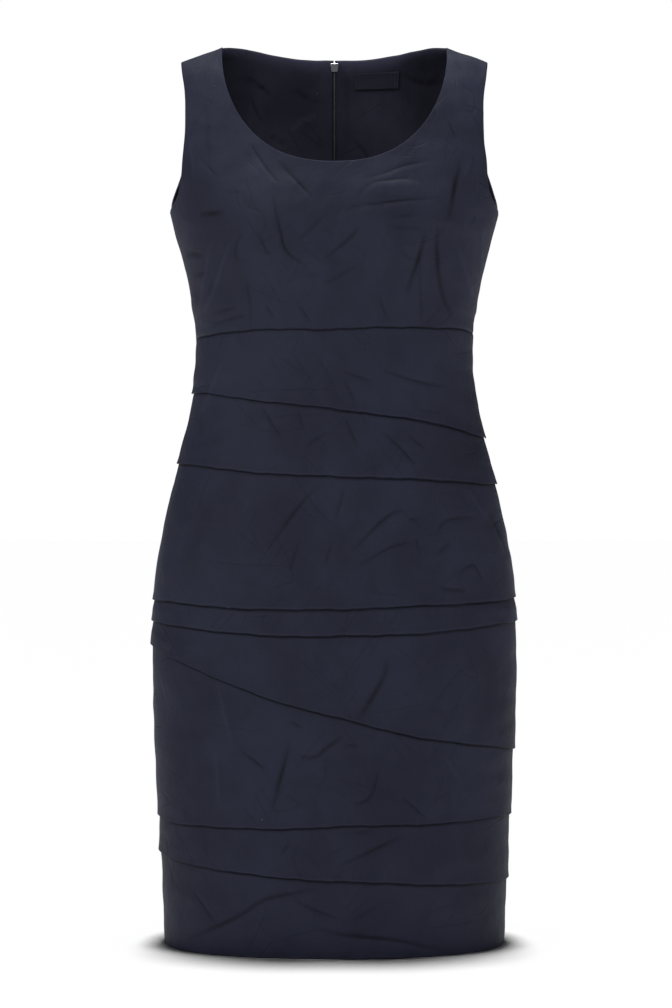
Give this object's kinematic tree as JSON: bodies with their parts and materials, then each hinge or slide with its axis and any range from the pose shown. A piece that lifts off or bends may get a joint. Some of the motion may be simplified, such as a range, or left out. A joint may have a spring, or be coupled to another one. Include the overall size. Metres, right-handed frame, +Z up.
{
  "type": "pencil dress",
  "caption": "Sleeveless knee-length navy pencil dress with a scoop neck, waist darts, layered diagonal skirt tiers and a centre-back zip, filled out as worn.",
  "frame": {"origin": "midway between the neck points of the two shoulder seams, level with the shoulder line beside them, where the wearer's shoulders hold the dress", "axes": "+Z up from hem to shoulders, -Y out of the dress's front, +X to the right of someone who looks at the front"},
  "size_m": [0.3945, 0.2626, 0.9619],
  "materials": {
    "navy_sateen": "fine cotton sateen, faint sheen",
    "navy_facing": "plain matt facing cloth",
    "navy_tape": "woven zip tape",
    "navy_coil": "nylon zip coil",
    "navy_label": "smooth woven label, bare",
    "grey_metal": "light grey plated zinc"
  },
  "bodies": {
    "dress": {"front_bodice": "navy_sateen", "front_midriff": "navy_sateen", "front_tier_1": "navy_sateen", "front_tier_2": "navy_sateen", "front_tier_3": "navy_sateen", "front_tier_4": "navy_sateen", "front_tier_5": "navy_sateen", "front_tier_6": "navy_sateen", "front_tier_7": "navy_sateen", "back_left": "navy_sateen", "back_right": "navy_sateen", "back_facing_left": "navy_facing", "back_facing_right": "navy_facing", "zip_tape_left": "navy_tape", "zip_tape_right": "navy_tape", "zip_coil": "navy_coil", "zip_slider": "grey_metal", "neck_label": "navy_label"},
    "zip_pull_tab": {"zip_pull": "grey_metal"}
  },
  "joints": [
    {"name": "pull_tab_hinge", "type": "hinge", "parent": "dress", "child": "zip_pull_tab", "pos_m": [0, 0.07671, -0.00444], "axis": [1, 0, 0], "range_deg": [0, 150]}
  ]
}
